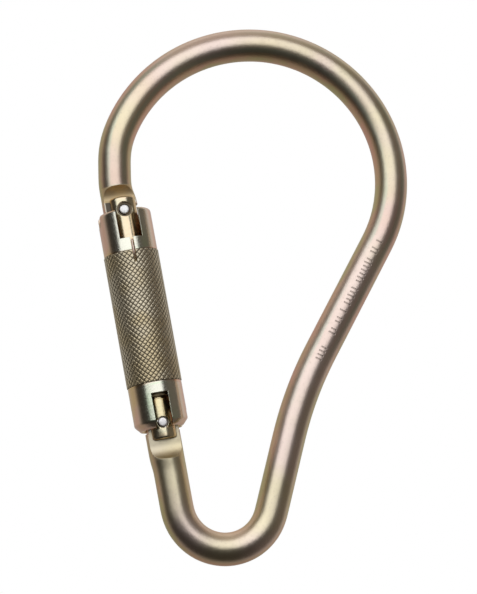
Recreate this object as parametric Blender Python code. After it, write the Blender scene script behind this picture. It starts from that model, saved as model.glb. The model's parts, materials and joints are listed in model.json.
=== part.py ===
"""Auto-locking steel carabiner: a bent round bar closed by a hinged gate with a twist-lock sleeve.

The bow hangs at the top, the hinge is near the narrow bottom end, and the gate closes the left side.
X runs from the gate to the spine, Y from the front to the back, Z up. The origin is where an anchor
bears, on the inner top of the large bow. Lengths are in metres.
"""

import math

import bmesh
import bpy
from mathutils import Matrix, Vector

MM = 0.001

# The bar and its route, from the top of the large bow down both sides.
BAR_R = 6.5 * MM
RIGHT_BOW_R = 55.3 * MM
RIGHT_BOW_SWEEP = math.radians(117.4)
SPINE_LENGTH = 51.0 * MM
SPINE_BEND_R = 152.0 * MM
SPINE_BEND_SWEEP = math.radians(13.85)
LOWER_SPINE_LENGTH = 30.8 * MM
HOOK_BOW_R = 18.9 * MM
HOOK_BOW_SWEEP = math.radians(154.2)
LEFT_BOW_R = 58.8 * MM
LEFT_BOW_SWEEP = math.radians(70.0)
NOSE_BEND_R = 34.0 * MM
NOSE_BEND_SWEEP = math.radians(22.5)
BAR_SIDES = 20

# The gate's frame: its origin is on the hinge pin and its z axis points at the latch pin.
HINGE_X = -37.7 * MM
HINGE_Z = -149.6 * MM
GATE_TILT = math.radians(-10.6)
PIN_SPAN = 86.0 * MM

# Flattened bar ends: a flat tongue at the hinge and a hooked nose at the latch pin.
BLADE_HALF = 2.75 * MM
UPSET_R = 7.0 * MM
RUNOUT_R = 5.0 * MM
NOSE_FLAT_END = 90.9 * MM
TONGUE_FLAT_END = -9.0 * MM
NOSE_TIP = PIN_SPAN - 4.3 * MM
HOOK_POCKET_R = 2.2 * MM
HOOK_LIP_END = 2.9 * MM
TONGUE_HALF = 6.1 * MM
SHOULDER = -3.4 * MM
HEEL_R = 6.2 * MM
HEEL_RISE = 1.2 * MM
GATE_OPENING = math.radians(54.0)

# Gate bar.
FORK_HALF = 3.05 * MM
GATE_R = 5.7 * MM
BOSS_R = 5.9 * MM
WAIST_R = 4.2 * MM
GROOVE_R = 4.6 * MM
HINGE_FORK_END = -6.5 * MM
NOSE_FORK_END = 91.3 * MM
HINGE_SLOT_END = 8.2 * MM
NOSE_SLOT_END = 81.0 * MM
GROOVE = (9.3 * MM, 12.3 * MM)
WAIST = (25.0 * MM, 64.0 * MM)
BORE_R = 2.75 * MM
BORE_END = 30.0 * MM

# Pins.
HINGE_PIN_R = 1.85 * MM
HINGE_HOLE_R = 2.3 * MM
LATCH_PIN_R = 1.9 * MM
LATCH_HOLE_R = 2.2 * MM
LATCH_RECESS_R = 3.05 * MM
LATCH_RECESS_FLOOR = 4.5 * MM

# Locking sleeve.
SLEEVE_R = 10.65 * MM
KNURL_R = 10.9 * MM
SLEEVE_START = -2.1 * MM
SLEEVE_END = 85.5 * MM
KNURL = (15.5 * MM, 68.5 * MM)
MOUTH_R = 8.1 * MM
MOUTH_RIM_R = 8.5 * MM
COUNTERBORE_R = 8.8 * MM
LOWER_LAND_R = 6.05 * MM
UPPER_LAND_R = 6.25 * MM
CAVITY_R = 8.2 * MM
NOSE_WINDOW = (9.0 * MM, 73.5 * MM)
HINGE_WINDOW = (6.6 * MM, 11.2 * MM)
RELIEF_WIDTH = 6.1 * MM
NOSE_RELIEF_START = 80.6 * MM
HINGE_RELIEF_END = 3.9 * MM
SLIT_HALF = 0.65 * MM
SLIT_START = 63.3 * MM
TWIST = math.radians(90.0)

# Stop pin, in a quarter-turn recess of the sleeve, and the retaining ring under the sleeve's land.
STOP_Z = 68.4 * MM
STOP_R = 1.2 * MM
STOP_REACH = 7.8 * MM
RECESS_R = 8.3 * MM
RING_R = 7.4 * MM
RING_BORE_R = 4.9 * MM
RING = (10.2 * MM, 11.9 * MM)

# Springs and plunger.
SLEEVE_WIRE_R = 0.35 * MM
SLEEVE_COIL_R = 6.8 * MM
SLEEVE_COIL = (27.0 * MM, 60.0 * MM)
SLEEVE_COIL_TURNS = 9
LEG_TOP = 72.6 * MM
LEG_R = 9.9 * MM
GATE_WIRE_R = 0.35 * MM
GATE_COIL_R = 1.85 * MM
GATE_COIL = (15.0 * MM, 29.3 * MM)
GATE_COIL_TURNS = 8
PLUNGER_R = 2.4 * MM
PLUNGER = (HEEL_R + 0.35 * MM, 14.2 * MM)

TURNED_SIDES = 40
FAR = 30.0 * MM


def clear_scene():
    """Remove every object, so that the script gives the same result in any file."""
    for obj in list(bpy.data.objects):
        bpy.data.objects.remove(obj, do_unlink=True)


def material(name, colour, roughness, metallic=1.0):
    """A Principled material of one colour."""
    made = bpy.data.materials.new(name)
    made.use_nodes = True
    shader = made.node_tree.nodes["Principled BSDF"]
    shader.inputs["Base Color"].default_value = (*colour, 1.0)
    shader.inputs["Roughness"].default_value = roughness
    shader.inputs["Metallic"].default_value = metallic
    return made


def add_object(name, mesh, surface=None, parent=None):
    """Link a mesh as an object, with its material and parent; without a material it is a cutter."""
    obj = bpy.data.objects.new(name, mesh)
    bpy.context.scene.collection.objects.link(obj)
    obj.parent = parent
    if surface:
        mesh.materials.append(surface)
        mesh.shade_smooth()
        mesh.set_sharp_from_angle(angle=math.radians(35.0))
    else:
        obj.hide_render = True
        obj.display_type = "WIRE"
    return obj


def mesh_from(bm, name):
    """Turn a bmesh into a mesh with its faces pointing out."""
    bmesh.ops.recalc_face_normals(bm, faces=bm.faces)
    mesh = bpy.data.meshes.new(name)
    bm.to_mesh(mesh)
    bm.free()
    return mesh


def turned(name, outline, sides=TURNED_SIDES, start=0.0):
    """A solid turned about Z from a closed outline of (radius, z) points."""
    bm = bmesh.new()
    rings = []
    for step in range(sides):
        angle = start + 2.0 * math.pi * step / sides
        rings.append([
            bm.verts.new((r * math.sin(angle), -r * math.cos(angle), z)) for r, z in outline
        ])
    for step in range(sides):
        here, after = rings[step], rings[(step + 1) % sides]
        for i in range(len(outline)):
            j = (i + 1) % len(outline)
            bm.faces.new((here[i], here[j], after[j], after[i]))
    bmesh.ops.remove_doubles(bm, verts=bm.verts, dist=1e-7)
    return mesh_from(bm, name)


def turned_rod(name, outline, sides=TURNED_SIDES):
    """A solid rod turned about Z from (radius, z) points, closed by a flat cap at each end."""
    bm = bmesh.new()
    rings = []
    for r, z in outline:
        rings.append([
            bm.verts.new((r * math.cos(a), r * math.sin(a), z))
            for a in (2.0 * math.pi * step / sides for step in range(sides))
        ])
    join_rings(bm, rings)
    return mesh_from(bm, name)


def join_rings(bm, rings):
    """Bridge successive rings of vertices and cap both ends."""
    sides = len(rings[0])
    for lower, upper in zip(rings, rings[1:]):
        for i in range(sides):
            j = (i + 1) % sides
            bm.faces.new((lower[i], lower[j], upper[j], upper[i]))
    bm.faces.new(rings[0])
    bm.faces.new(rings[-1])


def tube_along(name, points, radii, sides):
    """A round bar swept along points in the XZ plane or in space, with a radius at each point."""
    bm = bmesh.new()
    rings = []
    side = Vector((0.0, 1.0, 0.0))
    for i, point in enumerate(points):
        ahead = points[min(i + 1, len(points) - 1)] - points[max(i - 1, 0)]
        ahead.normalize()
        side = (side - ahead * side.dot(ahead)).normalized()
        other = ahead.cross(side)
        rings.append([
            bm.verts.new(point + (side * math.cos(a) + other * math.sin(a)) * radii[i])
            for a in (2.0 * math.pi * step / sides for step in range(sides))
        ])
    join_rings(bm, rings)
    return mesh_from(bm, name)


def slab(name, outline, half):
    """A plate whose (x, z) outline is extruded from y = -half to y = +half."""
    bm = bmesh.new()
    front = [bm.verts.new((x, -half, z)) for x, z in outline]
    back = [bm.verts.new((x, half, z)) for x, z in outline]
    bm.faces.new(front)
    bm.faces.new(back)
    for i in range(len(outline)):
        j = (i + 1) % len(outline)
        bm.faces.new((front[i], front[j], back[j], back[i]))
    return mesh_from(bm, name)


def box(name, low, high):
    """A box between two corners."""
    bm = bmesh.new()
    bmesh.ops.create_cube(bm, size=1.0)
    size = Vector(high) - Vector(low)
    middle = (Vector(high) + Vector(low)) / 2.0
    bmesh.ops.transform(bm, matrix=Matrix.Translation(middle) @ Matrix.Diagonal((*size, 1.0)), verts=bm.verts)
    return mesh_from(bm, name)


def cross_pin(name, radius, low, high, z, sides=24):
    """A cylinder along Y at x = 0 and height z."""
    bm = bmesh.new()
    bmesh.ops.create_cone(
        bm, cap_ends=True, segments=sides, radius1=radius, radius2=radius, depth=high - low,
        matrix=Matrix.Translation((0.0, (low + high) / 2.0, z)) @ Matrix.Rotation(math.pi / 2.0, 4, "X"),
    )
    return mesh_from(bm, name)


def cut(obj, cutter, operation="DIFFERENCE"):
    """Apply one exact Boolean to the object and remove the cutter."""
    modifier = obj.modifiers.new(cutter.name, "BOOLEAN")
    modifier.operation = operation
    modifier.solver = "EXACT"
    modifier.object = cutter
    bpy.context.view_layer.update()
    graph = bpy.context.evaluated_depsgraph_get()
    made = bpy.data.meshes.new_from_object(obj.evaluated_get(graph))
    obj.modifiers.remove(modifier)
    obj.data = made
    bpy.data.objects.remove(cutter, do_unlink=True)


def arc(centre, radius, start, end, steps):
    """Points on an arc in the (x, z) plane, angles counted from +x towards +z."""
    return [
        (centre[0] + radius * math.cos(a), centre[1] + radius * math.sin(a))
        for a in (start + (end - start) * k / steps for k in range(steps + 1))
    ]


def gate_frame():
    """The empty that carries everything built in the gate's frame."""
    frame = bpy.data.objects.new("gate_frame", None)
    bpy.context.scene.collection.objects.link(frame)
    frame.location = (HINGE_X, 0.0, HINGE_Z)
    frame.rotation_euler = (0.0, GATE_TILT, 0.0)
    bpy.context.view_layer.update()
    return frame


def march(start, heading, stretches):
    """Points along straights and bends; each stretch is (length, radius or None, sweep, steps)."""
    points = [start]
    for length, radius, sweep, steps in stretches:
        for _ in range(steps):
            x, z = points[-1]
            if radius is None:
                points.append((x + length / steps * math.cos(heading), z + length / steps * math.sin(heading)))
                continue
            turn = sweep / steps
            chord = 2.0 * radius * math.sin(abs(turn) / 2.0)
            middle = heading + turn / 2.0
            points.append((x + chord * math.cos(middle), z + chord * math.sin(middle)))
            heading += turn
    return points


def bar_route(frame):
    """Centre points and radii of the bar, from the nose round both bows to the tongue."""
    top = (0.0, BAR_R)
    right = march(top, 0.0, (
        (0.0, RIGHT_BOW_R, -RIGHT_BOW_SWEEP, 22),
        (SPINE_LENGTH, None, 0.0, 3),
        (0.0, SPINE_BEND_R, SPINE_BEND_SWEEP, 4),
        (LOWER_SPINE_LENGTH, None, 0.0, 2),
        (0.0, HOOK_BOW_R, -HOOK_BOW_SWEEP, 20),
    ))
    left = march(top, math.pi, (
        (0.0, LEFT_BOW_R, LEFT_BOW_SWEEP, 14),
        (0.0, NOSE_BEND_R, NOSE_BEND_SWEEP, 5),
    ))
    hinge_end = [
        frame.matrix_world @ Vector((x * MM, 0.0, z * MM))
        for x, z in ((0.1, -26.0), (0.1, -17.2), (-0.2, -14.4), (-0.2, 12.0))
    ]
    nose_end = [
        frame.matrix_world @ Vector((x * MM, 0.0, z * MM))
        for x, z in ((-0.9, 76.0), (-0.9, 90.6), (-1.35, 93.0), (-1.4, 97.5))
    ]
    points = nose_end + [Vector((x, 0.0, z)) for x, z in reversed(left)]
    points += [Vector((x, 0.0, z)) for x, z in right[1:]] + hinge_end
    radii = [UPSET_R] * 2 + [BAR_R] * (len(points) - 4) + [UPSET_R - 0.2 * MM] * 2
    return points, radii


def flat_cutter(name, frame, side, near, far):
    """The milling cut that leaves one face of a blade, ending in a concave run-out at `near`."""
    centre_y = BLADE_HALF + RUNOUT_R
    inwards = 1.0 if far > near else -1.0
    outline = [(BLADE_HALF, far), (BLADE_HALF, near)]
    for k in range(1, 9):
        a = math.radians(90.0) * k / 8.0
        outline.append((centre_y - RUNOUT_R * math.cos(a), near - inwards * RUNOUT_R * math.sin(a)))
    outline += [(FAR, near - inwards * RUNOUT_R), (FAR, far)]
    bm = bmesh.new()
    left = [bm.verts.new((-FAR, side * y, z)) for y, z in outline]
    right = [bm.verts.new((FAR, side * y, z)) for y, z in outline]
    bm.faces.new(left)
    bm.faces.new(right)
    for i in range(len(outline)):
        j = (i + 1) % len(outline)
        bm.faces.new((left[i], left[j], right[j], right[i]))
    return add_object(name, mesh_from(bm, name), parent=frame)


def nose_trim(frame):
    """Everything that the hooked nose leaves away: below its tip and in the latch pin's notch."""
    corner = 2.0 * MM
    left = -FAR
    tip_left = -7.9 * MM
    lip = HOOK_LIP_END
    outline = [(left, 70.0 * MM), (left, NOSE_TIP + 2.0 * corner), (tip_left, NOSE_TIP + corner)]
    outline += arc((tip_left + corner, NOSE_TIP + corner), corner, math.pi, 1.5 * math.pi, 5)[1:]
    outline += arc((lip - 0.6 * MM, NOSE_TIP + 0.6 * MM), 0.6 * MM, -0.5 * math.pi, 0.0, 3)
    outline += arc((lip - 0.5 * MM, PIN_SPAN - HOOK_POCKET_R - 0.5 * MM), 0.5 * MM, 0.0, 0.5 * math.pi, 3)
    outline += arc((0.0, PIN_SPAN), HOOK_POCKET_R, 1.5 * math.pi, 0.5 * math.pi, 12)
    outline += [(FAR, PIN_SPAN + HOOK_POCKET_R), (FAR, 70.0 * MM)]
    return add_object("nose_trim", slab("nose_trim", outline, FAR), parent=frame)


def tongue_trim(frame):
    """Everything round the tongue: its two shoulders and the spiral heel that lifts the plunger."""
    outline = [(-FAR, 30.0 * MM), (-FAR, SHOULDER), (-TONGUE_HALF, SHOULDER), (-TONGUE_HALF, 0.5 * MM)]
    start = math.pi - math.asin(0.5 * MM / HEEL_R) - 0.17
    outline += arc((0.0, 0.0), HEEL_R, start, 0.5 * math.pi, 8)
    steps = 12
    for k in range(1, steps + 1):
        turn = GATE_OPENING * 1.1 * k / steps
        radius = HEEL_R + HEEL_RISE * turn / GATE_OPENING
        outline.append((radius * math.sin(turn), radius * math.cos(turn)))
    outline += [(TONGUE_HALF, 1.5 * MM), (TONGUE_HALF, SHOULDER), (FAR, SHOULDER), (FAR, 30.0 * MM)]
    return add_object("tongue_trim", slab("tongue_trim", outline, FAR), parent=frame)


def make_body(frame, surface):
    """The bent bar with its hooked nose and its hinge tongue."""
    points, radii = bar_route(frame)
    body = add_object("body", tube_along("body", points, radii, BAR_SIDES), surface)
    for side in (-1.0, 1.0):
        cut(body, flat_cutter(f"nose_flat_{side:+.0f}", frame, side, NOSE_FLAT_END, 70.0 * MM))
        cut(body, flat_cutter(f"tongue_flat_{side:+.0f}", frame, side, TONGUE_FLAT_END, 30.0 * MM))
    cut(body, nose_trim(frame))
    cut(body, tongue_trim(frame))
    hole = cross_pin("tongue_hole", HINGE_HOLE_R, -FAR, FAR, 0.0)
    cut(body, add_object("tongue_hole", hole, parent=frame))
    finish(body)


def finish(obj):
    """Shade a cut piece smooth with its corners sharp."""
    obj.data.shade_smooth()
    obj.data.set_sharp_from_angle(angle=math.radians(35.0))


def make_gate_bar(frame, surface):
    """The gate bar: a fork at each end, a ring groove, a spring waist and an axial bore."""
    round_off = 1.0 * MM
    outline = [(GATE_R - round_off, HINGE_FORK_END), (GATE_R - 0.3 * round_off, HINGE_FORK_END + 0.3 * round_off)]
    outline += [(GATE_R, HINGE_FORK_END + round_off), (GATE_R, GROOVE[0]), (GROOVE_R, GROOVE[0])]
    outline += [(GROOVE_R, GROOVE[1]), (GATE_R, GROOVE[1]), (GATE_R, WAIST[0]), (WAIST_R, WAIST[0])]
    outline += [(WAIST_R, WAIST[1]), (BOSS_R, WAIST[1]), (BOSS_R, NOSE_FORK_END - round_off)]
    outline += [(BOSS_R - 0.3 * round_off, NOSE_FORK_END - 0.3 * round_off), (BOSS_R - round_off, NOSE_FORK_END)]
    gate = add_object("gate_bar", turned_rod("gate_bar", outline), surface, frame)
    slots = (("hinge_slot", -FAR, HINGE_SLOT_END), ("nose_slot", NOSE_SLOT_END, 4.0 * FAR))
    for name, low, high in slots:
        slot = box(name, (-FAR, -FORK_HALF, low), (FAR, FORK_HALF, high))
        cut(gate, add_object(name, slot, parent=frame))
    bore = turned_rod("bore", [(BORE_R, 0.0), (BORE_R, BORE_END)], 20)
    cut(gate, add_object("bore", bore, parent=frame))
    cut(gate, add_object("hinge_hole", cross_pin("hinge_hole", HINGE_HOLE_R, -FAR, FAR, 0.0), parent=frame))
    latch_hole = cross_pin("latch_hole", LATCH_HOLE_R, -FAR, FAR, PIN_SPAN)
    cut(gate, add_object("latch_hole", latch_hole, parent=frame))
    for low, high in ((-FAR, -LATCH_RECESS_FLOOR), (LATCH_RECESS_FLOOR, FAR)):
        recess = cross_pin("latch_recess", LATCH_RECESS_R, low, high, PIN_SPAN, 28)
        cut(gate, add_object("latch_recess", recess, parent=frame))
    stop_hole = cross_pin("stop_hole", STOP_R + 0.3 * MM, 3.0 * MM, FAR, STOP_Z, 16)
    cut(gate, add_object("stop_hole", stop_hole, parent=frame))
    finish(gate)


def make_sleeve(frame, surface):
    """The locking sleeve: a tube with lands, a spring cavity, end windows, a slit and a stop recess."""
    shoulder = 1.5 * MM
    outside = [(MOUTH_RIM_R, SLEEVE_START), (SLEEVE_R, 0.4 * MM), (SLEEVE_R, KNURL[0]), (KNURL_R, KNURL[0] + 0.2 * MM)]
    outside += [(KNURL_R, KNURL[1] - 0.2 * MM), (SLEEVE_R, KNURL[1]), (SLEEVE_R, SLEEVE_END - shoulder)]
    outside += [(SLEEVE_R - 0.3 * shoulder, SLEEVE_END - 0.3 * shoulder), (SLEEVE_R - shoulder, SLEEVE_END)]
    inside = [(COUNTERBORE_R, SLEEVE_END), (COUNTERBORE_R, 73.7 * MM), (UPPER_LAND_R, 73.7 * MM)]
    inside += [(UPPER_LAND_R, WAIST[1] + 0.6 * MM), (CAVITY_R, WAIST[1] - 1.4 * MM), (CAVITY_R, WAIST[0] + 1.4 * MM)]
    inside += [(LOWER_LAND_R, WAIST[0] - 0.6 * MM), (LOWER_LAND_R, 12.7 * MM), (COUNTERBORE_R, 12.0 * MM)]
    inside += [(COUNTERBORE_R, 0.6 * MM), (MOUTH_R, -1.1 * MM), (MOUTH_R, SLEEVE_START)]
    sleeve = add_object("locking_sleeve", turned("locking_sleeve", outside + inside), surface, frame)
    nose_half = NOSE_WINDOW[0] / 2.0
    hinge_half = HINGE_WINDOW[0] / 2.0
    relief_half = RELIEF_WIDTH / 2.0
    slots = (
        ("nose_window", (-nose_half, -FAR, NOSE_WINDOW[1]), (nose_half, 0.0, 4.0 * FAR)),
        ("hinge_windows", (-hinge_half, -FAR, -FAR), (hinge_half, FAR, HINGE_WINDOW[1])),
        ("nose_relief", (-FAR, -relief_half, NOSE_RELIEF_START), (0.0, relief_half, 4.0 * FAR)),
        ("hinge_relief", (0.0, -relief_half, -FAR), (FAR, relief_half, HINGE_RELIEF_END)),
        ("slit", (-SLIT_HALF, -FAR, SLIT_START), (SLIT_HALF, -UPPER_LAND_R / 2.0, NOSE_WINDOW[1] + MM)),
    )
    for name, low, high in slots:
        cut(sleeve, add_object(name, box(name, low, high), parent=frame))
    cut(sleeve, add_object("stop_recess", stop_recess(), parent=frame))
    finish(sleeve)


def stop_recess():
    """A quarter-turn pocket in the upper land, with room for the stop pin at each end."""
    room = math.asin((STOP_R + 0.35 * MM) / UPPER_LAND_R)
    first, last = math.radians(90.0) - room, math.radians(180.0) + room
    low, high = STOP_Z - STOP_R - 0.4 * MM, STOP_Z + STOP_R + 0.4 * MM
    inner = UPPER_LAND_R - 0.8 * MM
    steps = 10
    bm = bmesh.new()
    sections = []
    for k in range(steps + 1):
        a = first + (last - first) * k / steps
        sections.append([
            bm.verts.new((-r * math.sin(a), -r * math.cos(a), z))
            for r, z in ((inner, low), (RECESS_R, low), (RECESS_R, high), (inner, high))
        ])
    join_rings(bm, sections)
    return mesh_from(bm, "stop_recess")


def make_pins(frame, surface):
    """The hinge pin, the latch pin and the stop pin."""
    hinge = cross_pin("hinge_pin", HINGE_PIN_R, -5.6 * MM, 5.6 * MM, 0.0)
    add_object("hinge_pin", hinge, surface, frame)
    latch = cross_pin("latch_pin", LATCH_PIN_R, -5.2 * MM, 5.2 * MM, PIN_SPAN)
    add_object("latch_pin", latch, surface, frame)
    stop = cross_pin("stop_pin", STOP_R, 3.3 * MM, STOP_REACH, STOP_Z, 16)
    add_object("stop_pin", stop, surface, frame)


def make_ring(frame, surface):
    """The retaining ring in the gate bar's groove, which carries the sleeve's lower land."""
    outline = [(RING_R, RING[0]), (RING_R, RING[1]), (RING_BORE_R, RING[1]), (RING_BORE_R, RING[0])]
    add_object("retaining_ring", turned("retaining_ring", outline, 32), surface, frame)


def helix(radius, low, high, turns, steps):
    """Points on a helix that starts and ends at the front."""
    points = []
    for k in range(turns * steps + 1):
        a = 2.0 * math.pi * k / steps
        points.append(Vector((radius * math.sin(a), -radius * math.cos(a), low + (high - low) * k / (turns * steps))))
    return points


def make_springs(frame, surface):
    """The sleeve's torsion spring, with its leg in the slit, and the gate's compression spring."""
    points = helix(SLEEVE_COIL_R, *SLEEVE_COIL, SLEEVE_COIL_TURNS, 14)
    bend_low, bend_high = SLIT_START + 0.8 * MM, SLIT_START + 3.6 * MM
    points += [Vector((0.0, -SLEEVE_COIL_R - 0.4 * MM, 61.6 * MM)), Vector((0.0, -7.3 * MM, bend_low))]
    points += [Vector((0.0, -8.4 * MM, bend_low + 1.2 * MM)), Vector((0.0, -LEG_R, bend_high))]
    points += [Vector((0.0, -LEG_R, LEG_TOP))]
    radii = [SLEEVE_WIRE_R] * len(points)
    add_object("sleeve_spring", tube_along("sleeve_spring", points, radii, 6), surface, frame)
    points = helix(GATE_COIL_R, *GATE_COIL, GATE_COIL_TURNS, 10)
    radii = [GATE_WIRE_R] * len(points)
    add_object("gate_spring", tube_along("gate_spring", points, radii, 5), surface, frame)


def make_plunger(frame, surface):
    """The plunger that the gate spring presses on the tongue's heel."""
    low, high = PLUNGER
    outline = [(PLUNGER_R - 0.4 * MM, low), (PLUNGER_R, low + 0.4 * MM), (PLUNGER_R, high)]
    add_object("gate_plunger", turned_rod("gate_plunger", outline, 20), surface, frame)


def main():
    clear_scene()
    frame = gate_frame()
    passivated = material("passivated_steel", (0.62, 0.54, 0.42), 0.3)
    sleeve_steel = material("sleeve_steel", (0.60, 0.56, 0.47), 0.28)
    gate_steel = material("gate_steel", (0.78, 0.66, 0.42), 0.25)
    pin_steel = material("pin_steel", (0.82, 0.82, 0.82), 0.35)
    spring_steel = material("spring_steel", (0.74, 0.62, 0.52), 0.3)
    make_body(frame, passivated)
    make_gate_bar(frame, gate_steel)
    make_sleeve(frame, sleeve_steel)
    make_pins(frame, pin_steel)
    make_ring(frame, spring_steel)
    make_springs(frame, spring_steel)
    make_plunger(frame, pin_steel)


main()
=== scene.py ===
"""A locking carabiner in polished detail: bent bar, forked gate, knurled sleeve, pins and springs."""

import json
import math

import bmesh
import bpy
import numpy as np
from bpy.props import FloatProperty, FloatVectorProperty, IntProperty, PointerProperty
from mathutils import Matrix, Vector


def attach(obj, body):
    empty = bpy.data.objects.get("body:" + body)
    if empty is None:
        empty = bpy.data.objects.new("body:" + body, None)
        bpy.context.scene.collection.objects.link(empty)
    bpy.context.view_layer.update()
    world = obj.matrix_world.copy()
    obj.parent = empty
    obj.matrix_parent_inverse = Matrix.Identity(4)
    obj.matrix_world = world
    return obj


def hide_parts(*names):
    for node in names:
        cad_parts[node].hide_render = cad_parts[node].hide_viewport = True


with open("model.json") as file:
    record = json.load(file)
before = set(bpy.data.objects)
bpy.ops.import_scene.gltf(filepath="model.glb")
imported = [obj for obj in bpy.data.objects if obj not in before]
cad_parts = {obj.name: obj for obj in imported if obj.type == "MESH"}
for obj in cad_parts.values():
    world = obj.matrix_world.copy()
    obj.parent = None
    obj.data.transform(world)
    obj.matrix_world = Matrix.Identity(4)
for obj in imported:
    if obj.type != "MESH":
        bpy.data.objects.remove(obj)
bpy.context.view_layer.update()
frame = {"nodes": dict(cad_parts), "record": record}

bl_info = {
    "name": "Locking Carabiner",
    "version": (1, 0, 0),
    "blender": (4, 5, 0),
    "location": "View3D > Sidebar > Carabiner",
    "description": "Builds the detailed pieces, finishes and studio of a twist-lock carabiner",
    "category": "Add Mesh",
}

MM = 0.001
JOINTS = {joint["name"]: joint for joint in frame["record"]["behaviour"]["joints"]}
HINGE = np.array(JOINTS["gate_swing"]["pos_m"])
GATE_UP = -np.array(JOINTS["sleeve_twist"]["axis"])
GATE_RIGHT = np.array((GATE_UP[2], 0.0, -GATE_UP[0]))
BACK = np.array((0.0, 1.0, 0.0))
FULL_TURN = 2.0 * math.pi

# The bar's centre line, from the top of the large bow both ways. Sweeps are in degrees.
RIGHT_SWEEP = 117.4
SPINE_LENGTH = 51.0 * MM
SPINE_BEND = 152.0 * MM
SPINE_SWEEP = 13.85
LEG_LENGTH = 30.8 * MM
HOOK_SWEEP = 154.2
LEFT_SWEEP = 70.0
NOSE_SWEEP = 22.5
EASE_STEP = 0.85 * MM
EASE_PASSES = 8

# The bar's two ends in the gate's coordinates, in mm: right, up, and how far the bar is upset there.
NOSE_RUN = (
    (-0.9, 76.0, 0.5), (-0.9, 90.0, 0.5), (-0.95, 91.0, 0.47), (-1.25, 92.8, 0.1), (-1.38, 94.0, 0.0),
    (-1.4, 97.5, 0.0),
)
TONGUE_RUN = (
    (0.1, -24.0, 0.0), (0.1, -20.0, 0.0), (0.1, -17.2, 0.0), (0.0, -16.2, 0.1), (-0.15, -14.6, 0.25),
    (-0.2, -13.8, 0.3), (-0.2, 12.0, 0.3),
)

# Where the milled flats end and the far side that each is cut to, up from the hinge pin.
NOSE_FLAT = (90.9 * MM, 70.0 * MM)
TONGUE_FLAT = (-8.2 * MM, 30.0 * MM)
AWAY = 30.0 * MM  # how far a cutter reaches past the metal

# Holes for the pins, and the recess round each end of the latch pin.
PIN_HOLE_R = 2.3 * MM
LATCH_HOLE_R = 2.2 * MM
RECESS_R = 3.05 * MM
RECESS_FLOOR = 4.5 * MM

# The gate bar, in mm: radius and height up from the hinge pin.
GATE_OUTLINE = (
    (5.7, -6.5), (5.7, 9.3), (4.6, 9.3), (4.6, 12.3), (5.7, 12.3), (5.7, 25.0), (4.2, 25.0), (4.2, 64.0),
    (5.9, 64.0), (5.9, 91.3),
)
GATE_END_ROUND = 1.0 * MM
BORE_R = 2.75 * MM
HINGE_FORK_TOP = 8.2 * MM
LATCH_FORK_FLOOR = 81.0 * MM

# The sleeve: heights up from the hinge pin, and its inside in mm as radius and height.
MOUTH = -2.1 * MM
SLEEVE_TOP = 85.5 * MM
SLEEVE_SHOULDER = 1.5 * MM
KNURL_LOW, KNURL_HIGH = 15.5 * MM, 68.5 * MM
SLIT_LOW = 63.3 * MM
SLIT_HALF = 0.65 * MM
MOUTH_OUTLINE = ((8.5, -2.1), (8.64, -2.04), (10.33, -0.1), (10.55, 0.2), (10.65, 0.7))
INNER_OUTLINE = (
    (8.1, -2.1), (8.1, -1.1), (8.8, 0.6), (8.8, 12.0), (6.05, 12.01), (6.05, 24.4), (8.2, 26.4), (8.2, 62.6),
    (6.25, 64.6), (6.25, 73.49), (8.8, 73.5), (8.8, 85.5),
)


def to_world(points):
    """Points given as (right, back, up the gate) from the hinge pin, placed in the frame."""
    points = np.asarray(points, dtype=float)
    return HINGE + points[..., :1] * GATE_RIGHT + points[..., 1:2] * BACK + points[..., 2:] * GATE_UP


# ---------------------------------------------------------------- settings


def distance_setting(name, description, size):
    """A length setting, its size given in mm."""
    return FloatProperty(name=name, description=description, default=size * MM, subtype="DISTANCE")


def colour_setting(name, description, colour):
    """A colour setting."""
    return FloatVectorProperty(name=name, description=description, default=colour, subtype="COLOR")


class BarSettings(bpy.types.PropertyGroup):
    """Sizes of the bent bar."""

    radius: distance_setting("Bar radius", "Radius of the round bar", 6.5)
    right_radius: distance_setting("Right bow", "Bend radius right of the top", 55.3)
    left_radius: distance_setting("Left bow", "Bend radius left of the top", 58.8)
    nose_bend: distance_setting("Nose bend", "Bend radius above the nose", 34.0)
    hook_radius: distance_setting("Small bow", "Bend radius at the narrow end", 18.9)
    blade_half: distance_setting("Blade half", "Half thickness of the flattened ends", 2.75)
    nose_runout: distance_setting("Nose run-out", "Radius where the nose's flats run out", 5.0)
    hinge_runout: distance_setting("Hinge run-out", "Radius where the tongue's flats run out", 7.0)
    sides: IntProperty(name="Sides", description="Points round the bar", default=88)


class GateSettings(bpy.types.PropertyGroup):
    """Sizes of the gate bar and its pins."""

    fork_half: distance_setting("Fork gap half", "Half width of both fork slots", 3.05)
    pin_span: distance_setting("Pin span", "Hinge pin to latch pin", 86.0)
    sides: IntProperty(name="Sides", description="Points round the gate bar", default=112)


class SleeveSettings(bpy.types.PropertyGroup):
    """Sizes of the locking sleeve and its knurl."""

    radius: distance_setting("Sleeve radius", "Outer radius of the plain ends", 10.65)
    knurl_radius: distance_setting("Knurl radius", "Radius over the knurl", 10.9)
    knurl_depth: distance_setting("Knurl depth", "Depth of the knurl's grooves", 0.3)
    knurl_starts: IntProperty(name="Knurl starts", description="Diamonds round the sleeve", default=32)
    knurl_pitch: distance_setting("Knurl pitch", "Height of one diamond", 2.1)
    wire_radius: distance_setting("Wire radius", "Radius of the spring wire", 0.4)


class FinishSettings(bpy.types.PropertyGroup):
    """Colours of the finishes."""

    bar: colour_setting("Bar", "Passivated bar", (0.79, 0.70, 0.60))
    olive: colour_setting("Olive", "Olive passivation tint", (0.50, 0.50, 0.22))
    rose: colour_setting("Rose", "Rose passivation tint", (0.70, 0.39, 0.29))
    gold: colour_setting("Gold", "Gold passivation tint", (0.88, 0.78, 0.56))
    sleeve: colour_setting("Sleeve", "Turned sleeve", (0.80, 0.80, 0.70))
    pin: colour_setting("Pins", "Bare cut steel", (0.90, 0.90, 0.92))


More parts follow.
